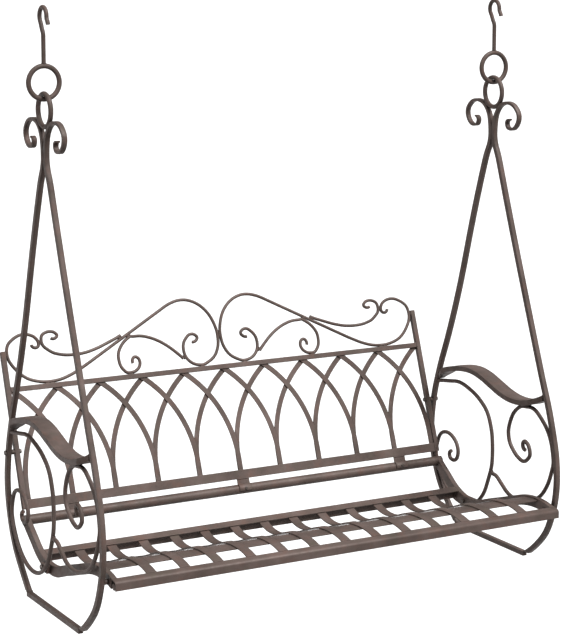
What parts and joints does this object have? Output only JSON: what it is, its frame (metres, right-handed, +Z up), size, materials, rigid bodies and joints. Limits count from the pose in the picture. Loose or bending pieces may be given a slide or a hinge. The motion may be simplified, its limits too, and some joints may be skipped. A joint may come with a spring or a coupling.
{
  "type": "hanging swing bench",
  "caption": "Hanging swing bench of dark painted steel: scrolled side frames, latticed back with scrolled crest, contoured slatted seat, hung by hooks and linked rings.",
  "frame": {"origin": "midway between the places where the two hook crowns rest on what holds the bench up", "axes": "+X along the bench, to the right for someone who faces it; +Y to the rear; +Z up"},
  "size_m": [1.2844, 0.6888, 1.3777],
  "materials": {
    "frame_paint": "satin powder coat, antique bronze",
    "fastener": "satin, painted over with the frame",
    "cap": "matte"
  },
  "bodies": {
    "hangers": {"left_hook": "frame_paint", "left_upper_ring": "frame_paint", "right_hook": "frame_paint", "right_upper_ring": "frame_paint"},
    "bench": {"back_brackets": "frame_paint", "back_foot_rail": "frame_paint", "back_front_arches": "frame_paint", "back_rear_arches": "frame_paint", "back_top_rail": "frame_paint", "bracket_screws": "fastener", "frame_bolts": "fastener", "frame_nuts": "fastener", "frame_spacers": "frame_paint", "left_armrest": "frame_paint", "left_back_stile": "frame_paint", "left_crest_leaf_scroll": "frame_paint", "left_crest_long_scroll": "frame_paint", "left_crest_small_scroll": "frame_paint", "left_front_bar": "frame_paint", "left_front_scroll": "frame_paint", "left_keel_bar": "frame_paint", "left_lower_ring": "frame_paint", "left_rear_bar": "frame_paint", "left_rear_scroll": "frame_paint", "left_seat_end_plate": "frame_paint", "left_seat_lug": "frame_paint", "right_armrest": "frame_paint", "right_back_stile": "frame_paint", "right_crest_leaf_scroll": "frame_paint", "right_crest_long_scroll": "frame_paint", "right_crest_small_scroll": "frame_paint", "right_front_bar": "frame_paint", "right_front_scroll": "frame_paint", "right_keel_bar": "frame_paint", "right_lower_ring": "frame_paint", "right_rear_bar": "frame_paint", "right_rear_scroll": "frame_paint", "right_seat_end_plate": "frame_paint", "right_seat_lug": "frame_paint", "seat_back_tube": "frame_paint", "seat_crest_strip": "frame_paint", "seat_front_rail": "frame_paint", "seat_front_stiffener": "frame_paint", "seat_rear_rail": "frame_paint", "seat_slat_01": "frame_paint", "seat_slat_02": "frame_paint", "seat_slat_03": "frame_paint", "seat_slat_04": "frame_paint", "seat_slat_05": "frame_paint", "seat_slat_06": "frame_paint", "seat_slat_07": "frame_paint", "seat_slat_08": "frame_paint", "seat_slat_09": "frame_paint", "seat_slat_10": "frame_paint", "seat_slat_11": "frame_paint", "seat_slat_12": "frame_paint", "seat_slat_13": "frame_paint", "seat_tube_caps": "cap"}
  },
  "joints": [
    {"name": "swing", "type": "hinge", "parent": "hangers", "child": "bench", "pos_m": [0, 0, -0.19675], "axis": [1, 0, 0], "range_deg": [-30, 30]}
  ]
}
